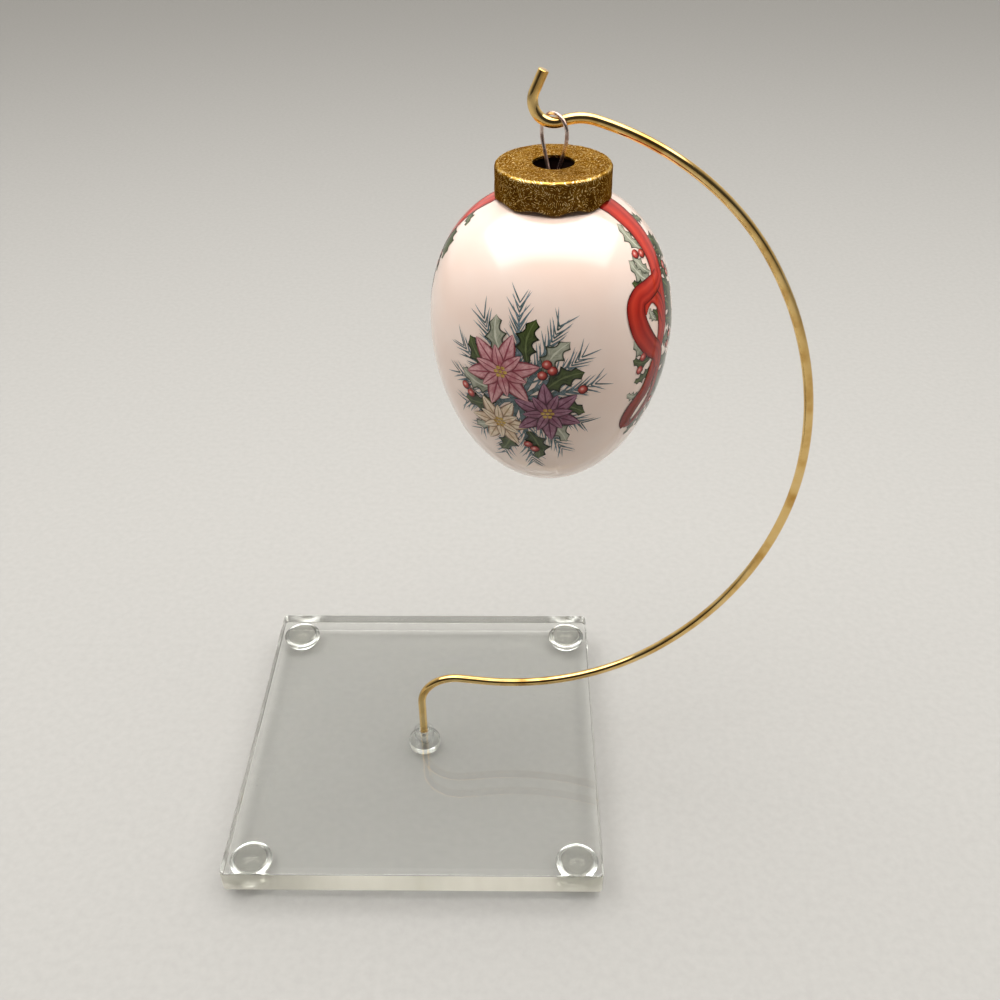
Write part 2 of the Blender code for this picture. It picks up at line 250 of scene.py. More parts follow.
form = bmesh.new()
turn(form, [
    (0.0, bore_floor), (bore_radius, bore_floor), (bore_radius, plate_high.z),
    (sleeve_radius, plate_high.z), (sleeve_radius, flange_top), (flange_radius, flange_top),
    *arc((flange_radius - flange_round, bush_low.z + flange_round), flange_round, 0.0, -90.0, 6),
    (0.0, bush_low.z),
], 64)
bmesh.ops.translate(form, vec=stand_axis, verts=form.verts)
bush = add_piece("wire_bush", form, "base", "clear_acrylic", acrylic)
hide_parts("socket_bush")


# STAND WIRE
# One length of hard brass wire, bent on pegs to a post, a wide bow and a small open hook, and cut
# off square. Its foot is pushed into the bush.

wire_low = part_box("stand_wire")[0]
wire_radius = 0.0010
wire_post = 0.0101
wire_post_top = plate_high.z + wire_post
wire_cut = 0.00012
wire_tip_share = 0.88
wire_step_angle = 5.0
wire_step_length = 0.0015
# Radius of each bend, the heading in degrees that it ends at, and the straight length after it
wire_bends = [
    (0.0088, -7.8, 0.0056), (0.0568, 39.6, 0.0), (0.0733, 90.0, 0.0), (0.0823, 122.8, 0.0),
    (0.0639, 162.4, 0.0), (0.0093, 200.4, 0.0), (0.0039, 66.5, 0.0040 - wire_cut),
]


def heading_line(heading):
    """Direction of a heading in the plane of the wire, where 0 points along +X and 90 up."""
    return Vector((math.cos(math.radians(heading)), 0.0, math.sin(math.radians(heading))))


def grow(form, ring, move):
    """Extrude an open ring of edges by a move and return the new ring."""
    grown = bmesh.ops.extrude_edge_only(form, edges=ring)["geom"]
    bmesh.ops.translate(form, vec=move, verts=of_kind(grown, bmesh.types.BMVert))
    return of_kind(grown, bmesh.types.BMEdge)


# Polished brass: warm gold that mirrors the room, with a thin brown tarnish in patches and the
# faint grain that drawing leaves on wire, which is drawn coarser than it is so that it shows
brass = new_material("polished_brass", {"Metallic": 1.0})
spot = add_node(brass, "TexCoord", out="Object")
tarnish = add_node(brass, "TexNoise", {"Vector": spot, "Scale": 1 / 0.006, "Detail": 5.0})
add_node(brass, "ValToRGB", {"Fac": tarnish}, feeds="Base Color", stops=[
    (0.3, "#C2964F"), (0.5, "#E3C07C"), (0.75, "#EDD095"),
])
grain = add_node(brass, "TexNoise", {"Vector": spot, "Scale": 1 / 0.0004, "Detail": 3.0})
add_node(brass, "MapRange", {
    "Value": grain, "From Min": 0.3, "From Max": 0.8, "To Min": 0.05, "To Max": 0.13,
}, feeds="Roughness")

form = bmesh.new()
bmesh.ops.create_circle(form, cap_ends=True, segments=24, radius=wire_radius)
wire_point = stand_axis + Vector((0, 0, wire_low.z))
bmesh.ops.translate(form, vec=wire_point, verts=form.verts)
wire_heading = 90.0
rise = Vector((0, 0, wire_post_top - wire_low.z))
ring = grow(form, form.edges[:], rise)
wire_point += rise
for bend_radius, bend_end, run_after in wire_bends:
    bend_turn = bend_end - wire_heading
    bend_middle = wire_point + heading_line(wire_heading + math.copysign(90.0, bend_turn)) * bend_radius
    bend_length = abs(math.radians(bend_turn)) * bend_radius
    bend_steps = math.ceil(max(abs(bend_turn) / wire_step_angle, bend_length / wire_step_length))
    ends = {vertex for edge in ring for vertex in edge.verts}
    bent = bmesh.ops.spin(
        form, geom=ring + list(ends), cent=bend_middle, axis=(0, -1, 0),
        angle=math.radians(bend_turn), steps=bend_steps,
    )["geom_last"]
    ring = of_kind(bent, bmesh.types.BMEdge)
    wire_heading = bend_end
    wire_point = bend_middle - heading_line(wire_heading + math.copysign(90.0, bend_turn)) * bend_radius
    if run_after:
        ring = grow(form, ring, heading_line(wire_heading) * run_after)
        wire_point += heading_line(wire_heading) * run_after
ring = grow(form, ring, heading_line(wire_heading) * wire_cut)
wire_point += heading_line(wire_heading) * wire_cut
ends = list({vertex for edge in ring for vertex in edge.verts})
bmesh.ops.scale(form, vec=(wire_tip_share,) * 3, verts=ends, space=Matrix.Translation(-wire_point))
bmesh.ops.edgeloop_fill(form, edges=ring)
bmesh.ops.recalc_face_normals(form, faces=form.faces)
stand_wire = add_piece("bent_wire", form, "arm", "polished_brass", brass)
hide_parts("stand_wire")


# HANGER
# A loop of thin tinned spring wire over the hook. Its two legs cross in the hole of the cap and
# spring apart below the neck of the egg, which holds the egg up against the cap.

hanger_low, hanger_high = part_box("hanger_wire")
hanger_radius = 0.00035
hanger_arch = 0.0031
hanger_axis = Vector(((hanger_low.x + hanger_high.x) / 2, 0.0, 0.0))
arch_middle = hanger_high.z - hanger_radius - hanger_arch
cap_low, cap_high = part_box("ornament_cap")
leg_spread = 0.003904
leg_offset = 0.0006
leg_foot = 0.0150
leg_bend = 0.0076
leg_cross = 0.0034
arch_straight = 0.0016
hanger_corner = 0.0013
hanger_turn = -45.0
hanger_leg = [
    Vector((-leg_spread, leg_offset, cap_high.z - leg_foot)),
    Vector((-leg_spread, leg_offset, cap_high.z - leg_bend)),
    Vector((0.0, leg_offset, cap_high.z - leg_cross)),
    Vector((hanger_arch, 0.0, arch_middle - arch_straight)),
    Vector((hanger_arch, 0.0, arch_middle)),
]


def round_corners(points, cut, steps):
    """Replace each inner corner of a line by a short curve."""
    line = [points[0]]
    for before, corner, after in zip(points, points[1:], points[2:]):
        start = corner + (before - corner).normalized() * cut
        end = corner + (after - corner).normalized() * cut
        for step in range(steps + 1):
            share = step / steps
            line.append(start.lerp(corner, share).lerp(corner.lerp(end, share), share))
    return line + [points[-1]]


def draw_wire(form, line, radius, sides):
    """Extrude a ring along a line of points and close both ends."""
    ways = [(there - here).normalized() for here, there in zip(line, line[1:])]
    bmesh.ops.create_circle(form, cap_ends=True, segments=sides, radius=radius)
    bmesh.ops.rotate(
        form, cent=(0, 0, 0), matrix=Vector((0, 0, 1)).rotation_difference(ways[0]).to_matrix(),
        verts=form.verts,
    )
    bmesh.ops.translate(form, vec=line[0], verts=form.verts)
    ring = form.edges[:]
    facing = ways[0]
    for place, here in enumerate(line[1:]):
        ring = grow(form, ring, here - line[place])
        ahead = (ways[place] + ways[min(place + 1, len(ways) - 1)]).normalized()
        ends = list({vertex for edge in ring for vertex in edge.verts})
        bmesh.ops.rotate(
            form, cent=here, matrix=facing.rotation_difference(ahead).to_matrix(), verts=ends,
        )
        facing = ahead
    bmesh.ops.edgeloop_fill(form, edges=ring)
    bmesh.ops.recalc_face_normals(form, faces=form.faces)


# Tinned spring steel: grey with a warm cast, bright where it is rubbed
spring_steel = new_material("tinned_spring_steel", {"Metallic": 1.0})
spot = add_node(spring_steel, "TexCoord", out="Object")
rubbed = add_node(spring_steel, "TexNoise", {"Vector": spot, "Scale": 1 / 0.002, "Detail": 4.0})
add_node(spring_steel, "ValToRGB", {"Fac": rubbed}, feeds="Base Color", stops=[
    (0.35, "#AD9084"), (0.5, "#DAC3B9"), (0.7, "#F3E4DC"),
])
add_node(spring_steel, "MapRange", {
    "Value": rubbed, "From Min": 0.3, "From Max": 0.7, "To Min": 0.35, "To Max": 0.2,
}, feeds="Roughness")

first_leg = round_corners(hanger_leg, hanger_corner, 10)
arch_line = [
    Vector((across, 0.0, height))
    for across, height in arc((0.0, arch_middle), hanger_arch, 0.0, 180.0, 28)[1:-1]
]
half_turn = Matrix.Rotation(math.pi, 3, "Z")
second_leg = [half_turn @ point for point in reversed(first_leg)]
form = bmesh.new()
draw_wire(form, first_leg + arch_line + second_leg, hanger_radius, 14)
bmesh.ops.rotate(
    form, cent=(0, 0, 0), matrix=Matrix.Rotation(math.radians(hanger_turn), 3, "Z"), verts=form.verts,
)
bmesh.ops.translate(form, vec=hanger_axis, verts=form.verts)
hanger = add_piece("hanger_loop", form, "hanger", "spring_wire", spring_steel)
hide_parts("hanger_wire")


# CAP
# A cap of thin brass sheet, pressed with a texture of fine strokes, with a hole in its top and nine
# shallow lobes round its rim. It is darkened, then rubbed bright on the high places, and its flat top
# is lightened with a painted highlight.

cap_axis = Vector(((cap_low.x + cap_high.x) / 2, 0.0, cap_high.z))
cap_radius = (cap_high.x - cap_low.x) / 2
cap_height = cap_high.z - cap_low.z
cap_sheet = 0.0005
cap_hole = 0.0039
cap_edge = 0.0007
cap_lobes = 9
lobe_depth = 0.0006
lobe_rib = 0.00004
dent_size = 0.0012
dent_depth = 0.00006
top_steps = 44
side_steps = 36
cap_steps = 432
# Shares of a lobe's width and of the cap's height that its bow takes, and the rib's share of the lobe
bow_reach = 0.92
bow_rise = 0.75
rib_width = 0.07
# How far from the edge the cap is rubbed, how uneven that is, how much the ribs are rubbed, how much
# painted highlight lightens the flat top, and the share of the height that counts as the top
rub_edge = 0.0007
rub_patch = 0.004
rub_grit = 0.0007
rub_rib = 0.15
top_painted_highlight = 0.16
top_share = 0.02

form = bmesh.new()
cap_line = [
    (cap_hole + (cap_radius - cap_edge - cap_hole) * step / top_steps, 0.0) for step in range(top_steps)
]
cap_line += arc((cap_radius - cap_edge, -cap_edge), cap_edge, 90.0, 0.0, 8)
side_drop = cap_height - cap_edge
cap_line += [
    (cap_radius, -cap_edge - side_drop * step / side_steps) for step in range(1, side_steps + 1)
]
turn(form, cap_line, cap_steps)
if max(form.faces, key=lambda face: face.calc_center_median().z).normal.z < 0.0:
    bmesh.ops.reverse_faces(form, faces=form.faces)
form.normal_update()
worn_and_top_highlight = form.verts.layers.float.new("worn_and_top_highlight")
shifts = {}
for vertex in form.verts:
    # A raised rib follows the bow of each lobe down the side and round its low point
    around = cap_lobes * (math.atan2(vertex.co.y, vertex.co.x) + math.pi / 2)
    off_middle = abs(math.atan2(math.sin(around), math.cos(around))) / math.pi
    low_share = max(0.0, -vertex.co.z / cap_height)
    bow = bow_reach * math.sqrt(max(0.0, 1.0 - max(0.0, 1.0 - (1.0 - low_share) / bow_rise) ** 2))
    rib = max(0.0, 1.0 - abs(off_middle - bow) / rib_width) if low_share > 1.0 - bow_rise else 0.0
    edge_gap = math.hypot(vertex.co.xy.length - cap_radius, vertex.co.z)
    rubbing = 0.5 + 0.5 * noise.noise(vertex.co / rub_patch) + 0.45 * noise.noise(vertex.co / rub_grit)
    vertex[worn_and_top_highlight] = max(0.0, 1.0 - edge_gap / rub_edge) * max(0.0, rubbing) + rub_rib * rib
    # Painted highlight: the whole flat top is lightened, standing in for the light it catches from above
    vertex[worn_and_top_highlight] += top_painted_highlight if low_share < top_share else 0.0
    shift = vertex.normal * (dent_depth * noise.noise(vertex.co / dent_size) + lobe_rib * rib)
    shift.z += lobe_depth * (1.0 - math.cos(around)) / 2 * low_share ** 4
    shifts[vertex] = shift
for vertex, shift in shifts.items():
    vertex.co += shift
hole_ring = [edge for edge in form.edges if edge.is_boundary and edge.verts[0].co.z > -cap_sheet]
ring = [edge for edge in form.edges if edge.is_boundary and edge.verts[0].co.z < -cap_sheet]
for radius, height in (
    (cap_radius - cap_sheet, None), (cap_radius - cap_sheet, -cap_sheet - cap_edge),
    (cap_radius - cap_edge, -cap_sheet), (cap_hole, -cap_sheet),
):
    ring = grow(form, ring, (0, 0, 0))
    for vertex in {vertex for edge in ring for vertex in edge.verts}:
        vertex.co.xy = vertex.co.xy.normalized() * radius
        vertex.co.z = vertex.co.z if height is None else height
        vertex[worn_and_top_highlight] = 0.0
bmesh.ops.bridge_loops(form, edges=ring + hole_ring)
bmesh.ops.recalc_face_normals(form, faces=form.faces)
bmesh.ops.translate(form, vec=cap_axis, verts=form.verts)

# Darkened brass: brown in the ground, with patches of short curved strokes that are pressed in and
# rubbed to gold, and bright along the edge. The real strokes are too fine to show, so these are drawn
# as coarse as they need to be.
stroke_patch = 0.0011
stroke_spacing = 0.0003
stroke_break = 0.00045
antique_brass = new_material("darkened_brass", {"Metallic": 1.0, "Specular Tint": linear("#C4A565")})
spot = add_node(antique_brass, "TexCoord", out="Object")
patch = add_node(antique_brass, "TexVoronoi", {
    "Vector": spot, "Scale": 1 / stroke_patch,
}, out="Position")
heart = add_node(antique_brass, "VectorMath", {0: spot, 1: patch}, operation="SUBTRACT")
drawn = add_node(antique_brass, "TexWhiteNoise", {"Vector": patch}, out="Color")
centre = add_node(antique_brass, "VectorMath", {
    0: drawn, 1: (2.4 * stroke_patch,) * 3, 2: (-1.2 * stroke_patch,) * 3,
}, operation="MULTIPLY_ADD")
apart = add_node(antique_brass, "VectorMath", {0: heart, 1: centre}, out="Value", operation="DISTANCE")
turns = add_node(antique_brass, "Math", {
    0: apart, 1: 2 * math.pi / stroke_spacing,
}, operation="MULTIPLY")
wave = add_node(antique_brass, "Math", {0: turns}, operation="SINE")
lines = add_node(antique_brass, "MapRange", {"Value": wave, "From Min": 0.2, "From Max": 0.9})
breaks = add_node(antique_brass, "TexNoise", {"Vector": spot, "Scale": 1 / stroke_break, "Detail": 1.0})
gaps = add_node(antique_brass, "MapRange", {"Value": breaks, "From Min": 0.42, "From Max": 0.58})
strokes = add_node(antique_brass, "Math", {0: lines, 1: gaps}, operation="MULTIPLY")
# This value holds the rubbed wear and also the painted highlight on the flat top
rubbed = add_node(antique_brass, "Attribute", out="Fac", attribute_name="worn_and_top_highlight")
shine = add_node(antique_brass, "Math", {0: strokes, 1: 0.74, 2: rubbed}, operation="MULTIPLY_ADD")
patina = add_node(antique_brass, "TexNoise", {"Vector": spot, "Scale": 1 / 0.0025, "Detail": 5.0})
uneven = add_node(antique_brass, "Math", {0: patina, 1: 0.5, 2: -0.2}, operation="MULTIPLY_ADD")
shown = add_node(antique_brass, "Math", {0: shine, 1: uneven}, operation="ADD")
add_node(antique_brass, "ValToRGB", {"Fac": shown}, feeds="Base Color", stops=[
    (0.0, "#4F310B"), (0.25, "#876022"), (0.6, "#C9A455"), (0.95, "#F3E2B8"),
])
add_node(antique_brass, "MapRange", {
    "Value": shine, "From Min": 0.0, "From Max": 1.0, "To Min": 0.48, "To Max": 0.32,
}, feeds="Roughness")
add_node(antique_brass, "Bump", {
    "Height": strokes, "Strength": 0.5, "Distance": 0.00005,
}, feeds="Normal")
cap = add_piece("pressed_cap", form, "cap", "antique_brass", antique_brass)
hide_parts("ornament_cap")


# EGG
# A hollow egg of slip-cast porcelain, fired with a clear glossy glaze over a white body. Its short
# neck stands inside the cap, and its wall shows only through the hole of the cap.

egg_low, egg_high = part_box("egg_body")
egg_radius = 0.0236
egg_half_height = 0.0312
egg_swell = 0.114
egg_fullness = 0.057
egg_wall = 0.0028
neck_radius = 0.0082
neck_bore = 0.0046
neck_lip = 0.0006
egg_middle = Vector((cap_axis.x, 0.0, egg_low.z + egg_half_height))


def egg_outline(angle, inset=0.0):
    """Radius and height from mid height of the egg's outline, at an angle from its top."""
    up = math.cos(angle)
    swell = 1.0 + egg_swell * up + egg_fullness * up * up
    return (egg_radius - inset) * math.sin(angle) * swell, (egg_half_height - inset) * up


def egg_line(top_radius, inset, steps):
    """Outline from a radius near the top of the egg down to its lower tip."""
    low, high = 0.0, math.pi / 2
    for _ in range(40):
        angle = (low + high) / 2
        low, high = (angle, high) if egg_outline(angle, inset)[0] < top_radius else (low, angle)
    line = [egg_outline(low + (math.pi - low) * step / steps, inset) for step in range(steps)]
    return line + [(0.0, -egg_half_height + inset)]


# Glazed porcelain: a cream white body under a wet gloss, rosier where the glaze lies thin
porcelain = new_material("glazed_porcelain", {"IOR": 1.52, "Coat Weight": 0.5, "Coat Roughness": 0.08})
spot = add_node(porcelain, "TexCoord", out="Object")
pooling = add_node(porcelain, "TexNoise", {"Vector": spot, "Scale": 1 / 0.014, "Detail": 2.0})
add_node(porcelain, "ValToRGB", {"Fac": pooling}, feeds="Base Color", stops=[
    (0.3, "#F2D6C6"), (0.7, "#F4DFD2"),
])
peel = add_node(porcelain, "TexNoise", {"Vector": spot, "Scale": 1 / 0.003, "Detail": 1.0})
add_node(porcelain, "MapRange", {
    "Value": peel, "From Min": 0.3, "From Max": 0.7, "To Min": 0.1, "To Max": 0.16,
}, feeds="Roughness")
add_node(porcelain, "Bump", {"Height": peel, "Strength": 0.15, "Distance": 0.00005}, feeds="Normal")

# Raw porcelain: the wall of the hollow has no glaze and is dull. Its dark reddish brown is painted
# shade for the dim inside of the egg.
painted_shade_raw_porcelain = new_material("painted_shade_raw_porcelain", {"Roughness": 0.9})
spot = add_node(painted_shade_raw_porcelain, "TexCoord", out="Object")
painted_shade_mottle = add_node(painted_shade_raw_porcelain, "TexNoise", {"Vector": spot, "Scale": 1 / 0.004, "Detail": 4.0})
# Painted shade: dark reddish browns that stand in for the shade inside the hollow
add_node(painted_shade_raw_porcelain, "ValToRGB", {"Fac": painted_shade_mottle}, feeds="Base Color", stops=[
    (0.3, "#1C0C0A"), (0.7, "#3A1F19"),
])

form = bmesh.new()
lip_height = egg_high.z - egg_middle.z - neck_lip
turn(form, [
    *reversed(egg_line(neck_bore, egg_wall, 40)),
    *arc((neck_bore + neck_lip, lip_height), neck_lip, 180.0, 90.0, 5),
    *arc((neck_radius - neck_lip, lip_height), neck_lip, 90.0, 0.0, 5),
    *egg_line(neck_radius, 0.0, 96),
], 192)
for face in form.faces:
    middle = face.calc_center_median()
    in_neck = middle.z > 0.0 and middle.xy.length < neck_bore + neck_lip
    face.material_index = 1 if in_neck or face.normal.dot(middle) < 0.0 else 0
bmesh.ops.translate(form, vec=egg_middle, verts=form.verts)
egg = add_piece("porcelain_egg", form, "egg", "glazed_porcelain", porcelain, painted_shade_raw_porcelain)
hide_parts("egg_body")


# RIBBON PRINT
# A red satin ribbon, printed in ceramic colours on the glaze and fired in. On both sides of the egg
# it comes from under the cap, turns a loop and ends in a folded tail.

print_film = 0.00003
print_step = 0.000012


def glaze(turned, height):
    """Point of the glaze and the way out of it, at a turn from the front and a height in mm."""
    angle = math.acos(max(-0.9999, min(0.9999, height / 1000 / egg_half_height)))
    radius, level = egg_outline(angle)
    above, below = egg_outline(angle - 0.001), egg_outline(angle + 0.001)
    slope = Vector((above[1] - below[1], below[0] - above[0])).normalized()
    side = Vector((math.sin(math.radians(turned)), -math.cos(math.radians(turned)), 0.0))
    return egg_middle + side * radius + Vector((0, 0, level)), side * slope.x + Vector((0, 0, slope.y))


def settle(point, layer):
    """Move a point level onto the glaze, and out by the film of the print and the layers under it."""
    offset = point - egg_middle
    place, out = glaze(math.degrees(math.atan2(offset.x, -offset.y)), offset.z * 1000)
    return place + out * (print_film + print_step * layer)


def flow(points, share):
    """Point of the smooth line through some points, from 0 at the first to 1 at the last."""
    place = max(0.0, min(share, 0.9999)) * (len(points) - 1)
    first = int(place)
    part = place - first
    start, end = points[first], points[first + 1]
    before, after = points[max(first - 1, 0)], points[min(first + 2, len(points) - 1)]
    return start + 0.5 * part * (
        end - before + part * (2 * before - 5 * start + 4 * end - after
                               + part * (3 * start - before - 3 * end + after))
    )


def lay_strand(form, route, widths, layer, steps):
    """Lay a band along a route of (turn, height) places, with widths in mm along it."""
    points = [glaze(*place)[0] for place in route]
    grid = bmesh.ops.create_grid(form, x_segments=steps, y_segments=6, size=0.5, calc_uvs=True)
    for vertex in grid["verts"]:
        share, across = vertex.co.x + 0.5, vertex.co.y
        here = flow(points, share)
        ahead = flow(points, share + 0.01) - flow(points, share - 0.01)
        side = (here - egg_middle).cross(ahead).normalized()
        width = flow([Vector((width, 0, 0)) for width in widths], share).x / 1000
        vertex.co = settle(here + side * across * width, layer)


# Fired enamel: satin red with lit flats that wander across the ribbon and dark outlines, glossy and a
# little less bright than the bare glaze. Painted shade darkens it towards brown lower down the egg.
ribbon_red = new_material("fired_red_enamel", {"Roughness": 0.1, "IOR": 1.52, "Specular IOR Level": 0.2})
across = add_node(ribbon_red, "SeparateXYZ", {
    "Vector": add_node(ribbon_red, "UVMap", uv_map="UVMap"),
}, out="Y")
spot = add_node(ribbon_red, "TexCoord", out="Object")
crease = add_node(ribbon_red, "TexNoise", {"Vector": spot, "Scale": 1 / 0.003, "Detail": 2.0})
sway = add_node(ribbon_red, "Math", {0: crease, 1: 0.16, 2: -0.08}, operation="MULTIPLY_ADD")
band = add_node(ribbon_red, "Math", {0: across, 1: sway}, operation="ADD")
satin = add_node(ribbon_red, "ValToRGB", {"Fac": band}, stops=[
    (0.01, "#4A110C"), (0.07, "#9C2018"), (0.28, "#CB3D2A"), (0.45, "#BC2E1E"), (0.6, "#A42318"),
    (0.75, "#C23626"), (0.93, "#901D15"), (0.99, "#4A110C"),
])
# Painted shade: the red is darkened towards brown the lower it lies on the egg, where less light falls
level = add_node(ribbon_red, "SeparateXYZ", {"Vector": spot}, out="Z")
painted_shade_height = add_node(ribbon_red, "MapRange", {
    "Value": level, "From Min": egg_middle.z - 0.012, "From Max": egg_middle.z + 0.018,
})
shade = add_node(ribbon_red, "ValToRGB", {"Fac": painted_shade_height}, stops=[(0.0, "#A58378"), (1.0, "#FFFFFF")])
add_node(ribbon_red, "Mix", {
    0: 1.0, 6: satin, 7: shade,
}, out=2, data_type="RGBA", blend_type="MULTIPLY", feeds="Base Color")

# The garland is laid twice, the second time turned round the egg by this many degrees
garland_turns = (0.0, -167.0)
# Turn in degrees and height in mm of each place that the middle of a strand passes
fall = [(68.5, 29.6), (69.5, 28.7), (70, 27.8), (69.3, 26.4), (69.1, 24.6), (68.3, 22.6), (67.2, 20.6),
        (65.6, 18.7), (63.9, 17.1), (62.2, 15), (61.6, 12.8), (61.2, 10.1), (59.6, 7), (56.5, 3.4)]
loop = [(65, 17.4), (59.6, 16.6), (52.4, 16.2), (45.5, 15.8), (42.1, 14.6), (41.5, 12.7), (42.7, 10.5),
        (45.8, 8.1), (50.4, 5.7), (56.2, 3.4), (58, 0.6)]
fold = [(46.6, 12.4), (48.6, 13.9), (52.0, 14.8), (56.0, 14.6), (59.2, 13.2), (61.0, 11.2), (61.6, 9.2)]
tail_out = [(58, 4), (54.3, 1.6), (52.6, -1.1), (49.8, -3.7), (45.2, -5.7), (42, -7.6), (40.9, -9.6),
            (42.6, -11.2)]
tail_back = [(41.6, -11), (46.8, -11), (52, -9.3), (56, -6.9), (58.4, -4), (58.8, -0.5), (58, 3)]
form = bmesh.new()
form.loops.layers.uv.new("UVMap")
for turned in garland_turns:
    for layer, (route, widths) in enumerate((
        (fall, (6.2, 6.0, 5.4, 4.8, 4.4, 4.2, 3.6, 2.8)), (tail_back, (1.7, 1.8, 1.8, 1.9, 1.8)),
        (fold, (1.2, 2.6, 3.0, 2.6, 1.6)), (tail_out, (2.6, 3.4, 3.6, 3.6, 2.6)),
        (loop, (3.4, 4.6, 4.8, 4.6, 4.6, 4.0, 2.8)),
    )):
        placed = [(place + turned, height) for place, height in route]
        lay_strand(form, placed, widths, 2 + layer, 12 * len(route))
add_piece("ribbon_print", form, "egg", "glazed_porcelain", ribbon_red)


# HOLLY PRINT
# Holly leaves along the ribbon, printed and fired in the same way: deep green ones in its shade and
# grey green ones on its near side, with dark outlines.

def seat(place, spin, size):
    """Frame that lies on the glaze at a (turn, height) place, spun from the right and sized in mm."""
    point, out = glaze(*place)
    right = Vector((0, 0, 1)).cross(out).normalized()
    axes = Matrix((right, out.cross(right), out)).transposed().to_4x4()
    spun = Matrix.Rotation(math.radians(spin), 4, "Z") @ Matrix.Scale(size / 1000, 4)
    return Matrix.Translation(point) @ axes @ spun


def lay_shape(form, frame_there, outline, layer, rows, columns, finish=0):
    """Lay a grid on the glaze, shaped by an outline from its length and its width."""
    grid = bmesh.ops.create_grid(form, x_segments=rows, y_segments=columns, size=0.5, calc_uvs=True)
    for vertex in grid["verts"]:
        along, across = outline(vertex.co.x + 0.5, 2 * vertex.co.y)
        vertex.co = settle(frame_there @ Vector((along, across, 0.0)), layer)
    for face in {face for vertex in grid["verts"] for face in vertex.link_faces}:
        face.material_index = finish


def holly_outline(along, across):
    """A curved leaf of length 1 with three spines on each side."""
    width = 0.3 * math.sin(math.pi * min(1.0, along + 0.02)) ** 0.6
    scallop = 1.0 - 0.5 * abs(math.sin(3.5 * math.pi * along))
    return along, across * width * scallop + 0.12 * math.sin(math.pi * along)


def leaf_enamel(name, edge_code, dark_code, light_code, vein_code):
    """Fired enamel of a leaf or petal: mottled, with a dark outline, a midrib and slanting veins."""
    enamel = new_material(name, {"Roughness": 0.1, "IOR": 1.52, "Specular IOR Level": 0.3})
    chart = add_node(enamel, "UVMap", uv_map="UVMap")
    along = add_node(enamel, "SeparateXYZ", {"Vector": chart}, out="X")
    across = add_node(enamel, "SeparateXYZ", {"Vector": chart}, out="Y")
    spot = add_node(enamel, "TexCoord", out="Object")
    mottle = add_node(enamel, "TexNoise", {"Vector": spot, "Scale": 1 / 0.0013, "Detail": 3.0})
    faded = add_node(enamel, "Math", {0: along, 1: 0.35, 2: mottle}, operation="MULTIPLY_ADD")
    blade = add_node(enamel, "ValToRGB", {"Fac": faded}, stops=[(0.4, dark_code), (0.85, light_code)])
    offside = add_node(enamel, "Math", {0: across, 1: 0.5}, operation="SUBTRACT")
    beside = add_node(enamel, "Math", {0: offside}, operation="ABSOLUTE")
    slant = add_node(enamel, "Math", {0: beside, 1: -0.7, 2: along}, operation="MULTIPLY_ADD")
    ripple = add_node(enamel, "Math", {0: slant, 1: 45.0}, operation="MULTIPLY")
    wave = add_node(enamel, "Math", {0: ripple}, operation="SINE")
    lines = add_node(enamel, "ValToRGB", {"Fac": wave}, stops=[(0.6, "#000000"), (0.95, "#909090")])
    rib = add_node(enamel, "ValToRGB", {"Fac": beside}, stops=[(0.03, "#FFFFFF"), (0.07, "#000000")])
    veins = add_node(enamel, "Mix", {
        0: 1.0, 6: lines, 7: rib,
    }, out=2, data_type="RGBA", blend_type="LIGHTEN")
    veined = add_node(enamel, "Mix", {0: veins, 6: blade, 7: linear(vein_code)}, out=2, data_type="RGBA")
    rim = add_node(enamel, "ValToRGB", {"Fac": beside}, stops=[(0.32, "#000000"), (0.43, "#FFFFFF")])
    add_node(enamel, "Mix", {
        0: rim, 6: veined, 7: linear(edge_code),
    }, out=2, data_type="RGBA", feeds="Base Color")
    return enamel


# Fired enamels: greens that are mottled like brushwork, with a paler rib
deep_green = leaf_enamel("fired_deep_green", "#171C0C", "#252E13", "#48532B", "#616B40")
grey_green = leaf_enamel("fired_grey_green", "#34382A", "#6A6E5A", "#A9A996", "#C4C3B0")

# Turn and height of each stalk, the way the leaf points in degrees, its length in mm and its shade
garland_leaves = [
    (60, 22.3, 104, 5.8, 1), (61, 23.4, 60, 4.6, 0), (58, 16.8, 128, 7.0, 1), (56, 16.8, 160, 5.4, 0),
    (58, 18.6, 120, 5.2, 1), (73, 25.6, -20, 5.0, 0), (73, 22.8, -50, 7.5, 0), (71, 19.9, -77, 6.3, 0),
    (72, 20.4, -30, 6.0, 0), (67, 16.1, -62, 7.3, 0), (69, 17.0, -20, 6.0, 0), (64, 12.7, -52, 8.0, 0),
    (66, 13.2, -8, 6.0, 0), (63, 9.0, -35, 7.0, 0), (53, 12.4, -60, 4.2, 0), (55, 10.3, 123, 3.4, 1),
    (50, 4.6, 141, 6.2, 1), (50, 3.3, 165, 5.2, 0), (51, 1.2, -160, 4.8, 0), (60, 5.0, -20, 6.5, 0),
    (60, 1.5, -45, 7.0, 0), (57, -1.2, -58, 8.0, 0), (58, -3.0, -15, 6.0, 0), (55, -5.3, -60, 7.5, 0),
    (52, -8.5, -75, 6.0, 0), (50, -10.0, -110, 5.0, 0), (46, -4.0, 160, 4.0, 1),
]
form = bmesh.new()
form.loops.layers.uv.new("UVMap")
for turned in garland_turns:
    for order, (place, height, spin, size, shade) in enumerate(garland_leaves):
        stalk = seat((place + turned, height), spin, size)
        lay_shape(form, stalk, holly_outline, order % 2, 21, 6, shade)
add_piece("holly_print", form, "egg", "glazed_porcelain", deep_green, grey_green)


# BERRY PRINT
# Holly berries in twos and threes between the leaves, printed in rose red with a pale glint and a
# dark outline.

